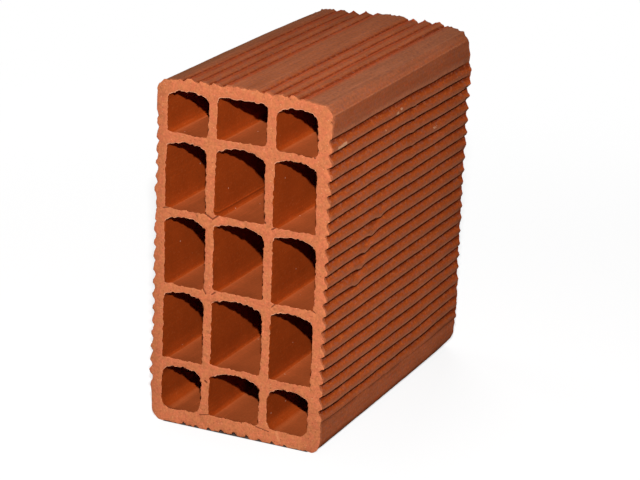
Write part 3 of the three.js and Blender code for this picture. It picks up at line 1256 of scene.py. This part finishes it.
# %% Finishes
class Finish(Graph):
    """A material that is being put together, and the coordinates that its patterns read."""

    def __init__(self, name, roughness, specular):
        self.material = bpy.data.materials.new(name)
        self.material.use_nodes = True
        super().__init__(self.material.node_tree)
        shader = self.tree.nodes["Principled BSDF"]
        shader.inputs["Roughness"].default_value = roughness
        shader.inputs["Specular IOR Level"].default_value = specular
        self.mm = self.scale(self.node("ShaderNodeTexCoord", {}, {}, "Object"), 1 / MM)
        parts = self.node("ShaderNodeSeparateXYZ", {}, {0: self.mm}, None)
        self.x, self.y, self.z = (Field(self, socket) for socket in parts.outputs)

    def scale(self, vector, factor):
        """A vector or a colour times a factor, by Vector Math."""
        settings = {"operation": "SCALE"}
        return self.node("ShaderNodeVectorMath", settings, {0: vector, "Scale": factor})

    def in_units(self, size, seed, shift):
        """The place on the brick in units of size, moved by seed times a shift.

        Size is in millimetres, for all axes or for each. The move keeps patterns apart.
        """
        sides = size if isinstance(size, tuple) else (size,) * 3
        return self.node("ShaderNodeMapping", {}, {
            "Vector": self.mm,
            "Scale": tuple(1 / side for side in sides),
            "Location": tuple(seed * step for step in shift)})

    def grain(self, size, seed, detail=2.0, rough=0.5):
        """Noise from 0 to 1 about 0.5. Size is its coarsest blob in mm, or that of each axis."""
        return self.node("ShaderNodeTexNoise", {}, {
            "Vector": self.in_units(size, seed, (7.3, 3.1, 5.7)),
            "Scale": 1.0, "Detail": detail, "Roughness": rough})

    def specks(self, size, seed):
        """Distance from the nearest of many scattered points, in units of size millimetres."""
        return self.node("ShaderNodeTexVoronoi", {"feature": "F1"}, {
            "Vector": self.in_units(size, seed, (1, 2, 3)), "Scale": 1.0}, "Distance")

    def line_distance(self, start, stop):
        """Distance in millimetres from a straight line.

        A line on the front end is given by x and z alone, and then its distance is measured as
        seen from the front.
        """
        place = self.mm
        if len(start) == 2:
            place = self.vector("MULTIPLY", self.mm, (1.0, 0.0, 1.0))
            start, stop = ((across, 0.0, up) for across, up in (start, stop))
        start, stop = np.array(start), np.array(stop)
        run = stop - start
        away = self.vector("SUBTRACT", place, start)
        share = self.vector("DOT_PRODUCT", away, run / (run @ run), output=1)
        along = self.scale(tuple(run), share.larger(0.0).smaller(1.0))
        return self.vector("DISTANCE", away, along, output=1)

    def lines(self, marks, full, limit, ragged=0.0):
        """1 on short lines, and 0 away from them, smooth between.

        A mark is a start, a stop and a half width. Full and limit say at how many half widths
        the fall begins and ends, and ragged is added to the distance.
        """
        share = 0.0
        for start, stop, half_width in marks:
            away = self.line_distance(start, stop) + ragged
            share = away.between(limit * half_width, full * half_width) + share
        return share.smaller(1.0)

    def vector(self, operation, first, second, output=0):
        """A Vector Math node on two vectors."""
        second = second if isinstance(second, Field) else tuple(second)
        settings = {"operation": operation}
        return self.node("ShaderNodeVectorMath", settings, {0: first, 1: second}, output)

    def attribute(self, name):
        """A value that the mesh carries."""
        return self.node("ShaderNodeAttribute", {"attribute_name": name}, {}, "Fac")

    def blend(self, share, below, above):
        """A colour from below, where the share is 0, to above, where it is 1."""
        colours = [
            colour if isinstance(colour, Field) else (*colour, 1.0) for colour in (below, above)]
        settings = {"data_type": "RGBA", "clamp_factor": True}
        return self.node(
            "ShaderNodeMix", settings, {0: share, 6: colours[0], 7: colours[1]}, 2)

    def paint(self, colour, layers):
        """A colour under several others. A layer is a share, and the colour that it adds."""
        for share, above in layers:
            colour = self.blend(share, colour, above)
        return colour

    def facing_up(self):
        """How far the surface faces up: 1 on a floor, 0 on a wall and -1 on a ceiling."""
        normal = self.node("ShaderNodeNewGeometry", {}, {}, "Normal")
        return self.node("ShaderNodeSeparateXYZ", {}, {0: normal}, 2)

    def plug(self, name, field):
        """Links a field to one of the shader's own sockets."""
        self.link(field, "Principled BSDF", name)

    def raise_surface(self, height, strength=1.0):
        """A Bump node whose height is in millimetres."""
        bump = self.node("ShaderNodeBump", {}, {
            "Strength": strength, "Distance": MM, "Height": height})
        self.plug("Normal", bump)


print("a finish can:", [name for name in vars(Finish) if not name.startswith("_")])

# %% [markdown]
# The cut ends show the clay's own colour: bright orange, mottled with pink and pale patches, with
# pits where the wire tore grains out, pale grains of grog, and a few drying cracks. The pits and
# cracks are painted dark as the shade inside them, and the arched tops of the openings get a
# painted highlight along their rims with a line of painted shade beside it. The lower right corner
# is a little darker, and so is the rim of the left wall. The colour is built up in layers, as
# paint is, and each layer's share is a mask. The tone then makes it lighter or darker.

# %% Cut clay
# Long chips on the rim of the front end, each a start and a stop, as x and z, and half its width.
scars = [
    ((31.9, 10.4), (35.2, 2.6), 1.0),
    ((38.5, 1.6), (50.0, 1.0), 0.9),
    ((-2.4, 249.4), (-0.4, 249.2), 0.8),
]
cut = Finish("cut_clay", 0.92, 0.04)
cloud = cut.grain(34.0, 1, 3.0, 0.55)
mottle = cut.grain(5.0, 2, 3.0, 0.6)
crumb = cut.grain(1.9, 3, 2.0, 0.7)
grit = cut.grain(1.3, 8, 0.0)
pink = cut.grain(4.8, 6, 3.0, 0.6).between(0.36, 0.66)
pale = cut.grain(2.2, 7, 2.0, 0.6).between(0.56, 0.72)
tone = 0.45 + 0.16 * cloud + 0.18 * mottle + 0.56 * crumb + 0.26 * grit
left_wall = 1.0 - 0.13 * cut.x.between(-52.0, -64.0)
low_right = 1.0 - 0.14 * cut.x.between(46.0, 60.0) * cut.z.between(44.0, 20.0)
# Pits: small dents, painted dark as the shade inside them.
pits = cut.specks(3.0, 4).between(0.20, 0.08)
grog = cut.specks(3.4, 5).between(0.14, 0.07)
under_arch = cut.attribute("arch")
# A pale rim painted along the arched tops of the openings as a highlight, and a dark line beside
# it as shade.
burr = under_arch.between(0.8, 0.3)
arch_rim_shade = under_arch.window(0.8, 1.0, 1.1, 1.4)
on_front = cut.y.between(0.0, -60.0)
clay_colour = cut.paint((0.645, 0.199, 0.078), [
    (pink, (0.675, 0.182, 0.079)),
    (pale * 0.20, (0.80, 0.29, 0.15)),
    (grog * 0.55, (0.85, 0.42, 0.22)),
    (pits * 0.4, (0.26, 0.06, 0.022)),
    (burr * 0.5, (0.86, 0.42, 0.25)),
    (arch_rim_shade * 0.3, (0.36, 0.08, 0.03)),
    (cut.lines(scars, 0.4, 1.5) * on_front * 0.6, (0.80, 0.30, 0.13)),
    # The cracks are painted dark, as the shade inside them.
    (cut.lines(cracks, 0.7, 1.5) * on_front * 0.8, (0.14, 0.028, 0.012)),
])
cut.plug("Base Color", cut.scale(clay_colour, tone * left_wall * low_right))
cut.raise_surface(0.22 * crumb + 0.16 * mottle + 0.18 * grit - 0.16 * pits, 0.8)
print("cut clay, nodes:", len(cut.tree.nodes))

# %% [markdown]
# The drawn skin is smooth where the die rubbed it and rough where it didn't. Its crests and
# bands are browner and greyer than the flanks of the notches, fine streaks run along it, and it
# is flecked all over with grey and orange. All of that is noise, stretched along the brick as
# the clay was, and the mesh itself says where the skin is polished and where a highlight is
# painted on the crests' lower rims.

# %% Streaks and flecks of the skin
drawn = Finish("drawn_skin", 0.85, 0.04)
polish_and_highlight = drawn.attribute("polish")
groove = drawn.attribute("groove")
streak = drawn.grain((2.4, 40.0, 2.4), 11, 3.0, 0.6)
patch = drawn.grain((9.0, 24.0, 9.0), 12, 3.0, 0.6)
dust = drawn.grain((1.7, 2.6, 1.7), 13, 2.0, 0.65)
rubbed = (polish_and_highlight * (0.35 + 1.1 * streak)).smaller(1.0)
ruddy = drawn.grain((3.0, 12.0, 3.0), 14, 2.0, 0.6).between(0.5, 0.72)
grey_fleck = drawn.grain((2.2, 4.2, 2.2), 15, 2.0, 0.65).between(0.50, 0.66)
bright_fleck = drawn.grain((1.9, 4.0, 1.9), 16, 2.0, 0.65).between(0.52, 0.68)
bright_fleck = bright_fleck * (0.50 - 0.28 * polish_and_highlight.smaller(1.0))
ragged = drawn.grain((3.0, 2.2, 3.0), 17, 3.0, 0.7)
torn_arris = (drawn.y.between(-111.5, -119.8) + 1.9 * ragged).between(1.55, 1.75)
print("streaks and flecks, nodes:", len(drawn.tree.nodes))

# %% [markdown]
# Other marks belong to one place. Dust settled on what faces up. Deep in the notches, shade is
# painted dark, with some dirt, and on the top the right-hand flank of each is red, which needs the
# same drift of the combs as the shape has. The outer band on the left of the top is painted darker
# and greyer as shade, where it falls away from the light, the one on the right is paler, and a few
# pale chips were knocked out.

# %% Marks in their places
# Chips of the skin, each a start and a stop in space and half its width.
chips = [
    ((65.6, -109.0, 216.2), (65.6, -97.0, 217.2), 1.5),
    ((65.6, -16.4, 196.3), (65.6, -15.6, 196.3), 0.9),
    ((65.6, -12.0, 216.4), (65.6, -10.0, 216.9), 1.0),
    ((65.6, -5.0, 218.2), (65.6, -3.0, 218.4), 0.9),
    ((65.6, -30.4, 209.2), (65.6, -29.6, 209.2), 0.8),
    ((65.6, 58.0, 189.0), (65.6, 64.0, 189.2), 0.9),
    ((66.0, -119.5, 94.9), (66.0, -118.0, 94.9), 1.1),
    ((66.0, -119.6, 38.4), (66.0, -118.4, 38.0), 0.9),
    ((-15.8, -42.0, 249.4), (-15.0, -41.0, 249.4), 1.0),
    ((32.0, -8.6, 249.4), (32.2, -8.0, 249.4), 0.8),
]
on_top = drawn.z.between(240.0, 244.0)
# The top's outer band on the left is painted darker and greyer, as shade where it falls away from
# the light.
shaded_left_band = on_top * drawn.x.between(-48.0, -57.0)
right_band = on_top * drawn.x.between(44.0, 49.0)
# A highlight painted along the lower edge of the upper right corner's bevel.
top_corner = drawn.z.window(239.9, 240.6, 240.9, 241.6) * drawn.x.between(55.0, 60.0)
# Painted shade, with some dirt, deep in the notches.
deep = groove.between(1.3 - 0.4 * on_top, 2.4 - 0.85 * on_top)
upwards = drawn.facing_up().between(0.55, 0.95)
flank = upwards * groove.between(0.3, 1.4) * (1.0 - on_top)
settled = upwards * (0.3 + 0.7 * rubbed) * (1.0 - flank) * (1.0 - 0.7 * on_top * deep)
comb_place = drawn.x - comb_drift(drawn.y / length + 0.5)
pitches = (comb_place - top_notches[0]) / top_notch_pitch
past_notch = top_notch_pitch * pitches.past_point()
combed = abs(comb_place - 2.0).window(10.5, 12.0, 46.0, 47.5)
red_edge = on_top * combed * past_notch.between(7.0, 2.8)
chipped = drawn.lines(chips, 0.5, 1.2, 2.4 * dust - 1.2)
print("with marks, nodes:", len(drawn.tree.nodes))

# %% [markdown]
# The layers go on from what the die and the kiln did to what happened last. The tone is painted
# darker towards the back, as light that falls off, and is darker on the left of the top. The
# lowest band is painted paler, as light thrown up from the floor, and the lowest rib a little
# darker.

# %% Colours of the skin
skin_colour = drawn.paint((0.500, 0.086, 0.0145), [
    (rubbed, (0.455, 0.124, 0.050)),
    (ruddy * 0.35, (0.60, 0.092, 0.028)),
    # A highlight painted on the lower rims of the side's crests.
    (polish_and_highlight.between(1.0, 1.9) * 0.5, (0.66, 0.25, 0.13)),
    # Painted shade and dirt deep in the notches.
    (deep * 0.8, (0.25, 0.030, 0.006)),
    (settled, (0.53, 0.155, 0.064)),
    (flank * (1.0 - deep) * 0.45, (0.58, 0.105, 0.030)),
    (red_edge * 0.85, (0.62, 0.09, 0.022)),
    (shaded_left_band * 0.5, (0.34, 0.145, 0.062)),
    (right_band * 0.45, (0.50, 0.185, 0.095)),
    (0.7 * top_corner * streak, (0.64, 0.23, 0.11)),
    (grey_fleck * 0.55, (0.40, 0.130, 0.078)),
    (bright_fleck, (0.70, 0.150, 0.028)),
    (torn_arris * 0.7, (0.68, 0.20, 0.085)),
    (chipped * 0.8, (0.88, 0.45, 0.25)),
])
# Painted shade: the skin darkens towards the back, as light that falls off.
painted_falloff = 1.0 - 0.05 * drawn.y.between(-60.0, 40.0) - 0.11 * drawn.y.between(60.0, 105.0)
darker_left = 1.0 - 0.17 * on_top * drawn.x.between(-6.0, -26.0)
# Painted light: the lowest band is paler, more so towards the back, as light thrown up from the
# floor.
painted_floor_bounce = drawn.z.between(24.0, 22.0) * (0.16 + 0.24 * drawn.y.between(-110.0, 30.0))
low_rib = drawn.z.window(22.5, 25.0, 28.5, 30.5)
bands = 1.0 + 0.08 * drawn.z.window(222.0, 228.0, 242.0, 246.0) + painted_floor_bounce - 0.08 * low_rib
top_streak = on_top * (drawn.grain((3.4, 90.0, 3.4), 18, 2.0, 0.6) - 0.5)
skin_tone = 0.49 + 0.24 * patch + 0.24 * streak + 0.62 * dust + 0.6 * top_streak
skin_tone = skin_tone * painted_falloff * darker_left * bands
drawn.plug("Base Color", drawn.scale(skin_colour, skin_tone))
drawn.plug("Roughness", 0.92 - 0.28 * rubbed)
drawn.raise_surface(0.10 * streak + 0.16 * dust, 0.7)
print("drawn skin, nodes:", len(drawn.tree.nodes))

# %% [markdown]
# Inside the cells the clay is darker and redder, with a faint pale line and a dark one along the
# walls a few millimetres above their lower corners, which are clearest in one cell of the middle
# column. Crumbs and dust from the cut lie on everything that faces up, most of all near the ends,
# and a few specks of lime show. Lamps could darken the inside too, but then it would be wrong in
# any other light.

# %% Drawn cells
cored = Finish("cored_clay", 0.9, 0.04)
core_streak = cored.grain((2.2, 50.0, 2.2), 21, 3.0, 0.6)
core_patch = cored.grain(20.0, 22, 3.0, 0.55)
core_dust = cored.grain(1.4, 23, 3.0, 0.65)
core_fleck = cored.grain((1.8, 3.4, 1.8), 24, 2.0, 0.65).between(0.55, 0.72)
settled = cored.facing_up().between(0.75, 0.97)
lip_dust = settled * abs(cored.y).between(115.5, 119.0) * core_dust.between(0.35, 0.60)
lime = cored.specks(15.0, 31).between(0.050, 0.030)
core_colour = cored.paint((0.43, 0.0605, 0.0070), [
    (core_patch, (0.47, 0.0680, 0.0085)),
    (core_fleck * 0.35, (0.56, 0.12, 0.03)),
    (settled, (0.57, 0.120, 0.031)),
    (lip_dust * 0.6, (0.66, 0.26, 0.14)),
    (lime * 0.7, (0.85, 0.50, 0.33)),
])

off_corner = cored.attribute("corner")
# Painted light: walls and floor are lighter near their lower corners, as light thrown between
# them.
painted_corner_glow = 1.0 + 0.24 * off_corner.between(13.0, 1.0)
middle_cell = abs(cored.x - middle_left).between(5.0, 3.0)
middle_cell = middle_cell * cored.z.window(152.0, 158.0, 200.0, 206.0)
wall_lines = (0.10 + 0.90 * middle_cell) * (1.0 - settled)
pale_wall_line = off_corner.window(4.5, 5.1, 5.5, 6.1) * wall_lines
dark_wall_line = off_corner.window(3.2, 3.8, 4.2, 4.8) * wall_lines
scratch = core_streak.between(0.60, 0.70) * 0.08
core_tone = 0.575 + 0.26 * core_patch + 0.14 * core_streak + 0.46 * core_dust + scratch
core_tone = core_tone * (1.0 + 0.22 * pale_wall_line - 0.30 * dark_wall_line)
# Painted shade: the cells' clay is darker towards the bottom rows.
core_tone = core_tone * painted_corner_glow * (0.88 + 0.14 * cored.z.between(20.0, 220.0))
cored.plug("Base Color", cored.scale(core_colour, core_tone))
cored.raise_surface(0.06 * core_streak + 0.13 * core_dust, 0.7)

for finish in (cut, drawn, cored):
    mesh.materials.append(finish.material)
    print(finish.material.name, "nodes:", len(finish.tree.nodes))

# %% [markdown]
# The brick stands on a plain pale floor, a disc that reaches out past what the camera sees. It
# has rings of faces, which are closer together near the brick.

# %% Floor
floor_radius = 6.0
floor_steps = 96
floor_turn = np.linspace(0, 2 * np.pi, floor_steps, endpoint=False)
floor_rings = np.array([0.0, 0.35, 0.7, 1.5, floor_radius])
floor_points = floor_rings[1:, None, None] * np.stack([np.cos(floor_turn), np.sin(floor_turn)], 1)
floor_points = np.concatenate([[[0.0, 0.0]], floor_points.reshape(-1, 2)])
floor_points = np.concatenate([floor_points, np.zeros((len(floor_points), 1))], axis=1)
after_turn = (np.arange(floor_steps) + 1) % floor_steps
floor_faces = [(0, 1 + step, 1 + after_turn[step]) for step in range(floor_steps)]
floor_faces += (1 + ring_faces(len(floor_rings) - 1, floor_steps, True)).tolist()
floor_mesh = bpy.data.meshes.new("floor")
floor_mesh.from_pydata(floor_points.tolist(), [], floor_faces)
floor = bpy.data.objects.new("floor", floor_mesh)
bpy.context.scene.collection.objects.link(floor)
print("floor faces:", len(floor_mesh.polygons))

# %% [markdown]
# The floor shades to white. The camera sees it with a little light of its own, so that it is white
# where it is lit and pale grey in the shadow. Under the brick a dark shadow is painted, which only
# the camera sees, so the notches of the underside don't glow. The light that it throws back onto
# the brick is an ordinary matt surface's, so its brightness doesn't wash the brick out.

# %% Floor finish
floor_glow = 0.72
pale = Finish("pale_floor", 1.0, 0.0)
seen = pale.node("ShaderNodeLightPath", {}, {}, "Is Camera Ray")
away = (pale.x * pale.x + pale.y * pale.y) ** 0.5
fade = away.between(350.0, 900.0)
matt = pale.node("ShaderNodeBsdfDiffuse", {}, {"Color": (0.30, 0.29, 0.28, 1.0)})
matt_seen = pale.node("ShaderNodeBsdfDiffuse", {}, {"Color": (0.45, 0.45, 0.45, 1.0)})
# A dark matt surface for the shadow painted under the brick.
dark = pale.node("ShaderNodeBsdfDiffuse", {}, {"Color": (0.12, 0.09, 0.08, 1.0)})
glow = pale.node("ShaderNodeEmission", {}, {"Strength": floor_glow})
white = pale.node("ShaderNodeEmission", {}, {"Strength": 1.0})
lit = pale.node("ShaderNodeAddShader", {}, {0: matt_seen, 1: glow})
# Where the shadow is painted on the floor under the brick.
painted_shadow_area = abs(pale.x).between(57.0, 55.0) * abs(pale.y - 1.0).between(120.8, 120.0)
near = pale.node("ShaderNodeMixShader", {}, {0: painted_shadow_area, 1: lit, 2: dark})
shown = pale.node("ShaderNodeMixShader", {}, {0: fade, 1: near, 2: white})
result = pale.node("ShaderNodeMixShader", {}, {0: seen, 1: matt, 2: shown})
pale.link(result, "Material Output", "Surface")
floor_mesh.materials.append(pale.material)
print("pale floor, nodes:", len(pale.tree.nodes))

# %% [markdown]
# Two small lamps in one place, a little above the camera, give the crisp shadows inside the
# cells. Their power is worked out from a rule: at a light level of 1, a matt surface that
# faces them shows its colour as it is written. The light of the stronger lamp stops at the first
# surface, so that the cells stay dark inside. Two large weak panels, one behind the brick and
# one on its left, keep the far sides readable.

# %% Lamps
def panel(name, azimuth, elevation, distance, size, level, facing=1.0):
    """A square lamp that looks at the brick's middle and gives it a chosen light level.

    Power is level * (pi * distance) ** 2 / facing. Azimuth 0 is in front of the brick, and it
    grows towards the right side. Facing is the cosine at which the light meets a face.
    """
    azimuth, elevation = math.radians(azimuth), math.radians(elevation)
    towards = np.array([
        math.sin(azimuth) * math.cos(elevation),
        -math.cos(azimuth) * math.cos(elevation),
        math.sin(elevation)])
    lamp_data = bpy.data.lights.new(name, "AREA")
    lamp_data.shape = "SQUARE"
    lamp_data.size = size
    lamp_data.energy = level * (math.pi * distance) ** 2 / facing
    lamp = bpy.data.objects.new(name, lamp_data)
    lamp.location = towards * distance + np.array([0, 0, height * MM / 2])
    lamp.rotation_euler = (math.pi / 2 - elevation, 0, azimuth)
    lamp.visible_camera = False
    bpy.context.scene.collection.objects.link(lamp)
    print(name, "W:", round(lamp_data.energy, 1))
    return lamp


# Azimuth and elevation in degrees, then distance and size in metres. Facing is for the front end.
key_place = (24.5, 26, 1.89, 0.03)
key_facing = 0.818
soft_level = 0.27
crisp_level = 0.53
panel("key_lamp", *key_place, soft_level, key_facing)
crisp_lamp = panel("crisp_lamp", *key_place, crisp_level, key_facing)
crisp_lamp.data.cycles.max_bounces = 0
back_panel = panel("back_panel", 208, 12, 2.0, 1.2, 0.5)
left_panel = panel("left_panel", 258, 6, 2.0, 1.2, 0.3)
for lamp in (back_panel, left_panel):
    lamp.visible_glossy = False

# %% [markdown]
# The world around is white to the camera, but gives the brick only a faint even light, so that no
# shadow is black. Colours are shown as they are, without a film look.

# %% World
fill_level = 0.07
world = bpy.data.worlds.new("studio")
world.use_nodes = True
bpy.context.scene.world = world
studio = Graph(world.node_tree)
to_camera = studio.node("ShaderNodeLightPath", {}, {}, "Is Camera Ray")
world_level = studio.node("ShaderNodeMapRange", {}, {
    "Value": to_camera, "To Min": fill_level, "To Max": 1.0})
studio.link(world_level, "Background", "Strength")
world.node_tree.nodes["Background"].inputs["Color"].default_value = (1.0, 1.0, 1.0, 1.0)
bpy.context.scene.view_settings.view_transform = "Standard"
print("even light of the world:", fill_level)

# %% [markdown]
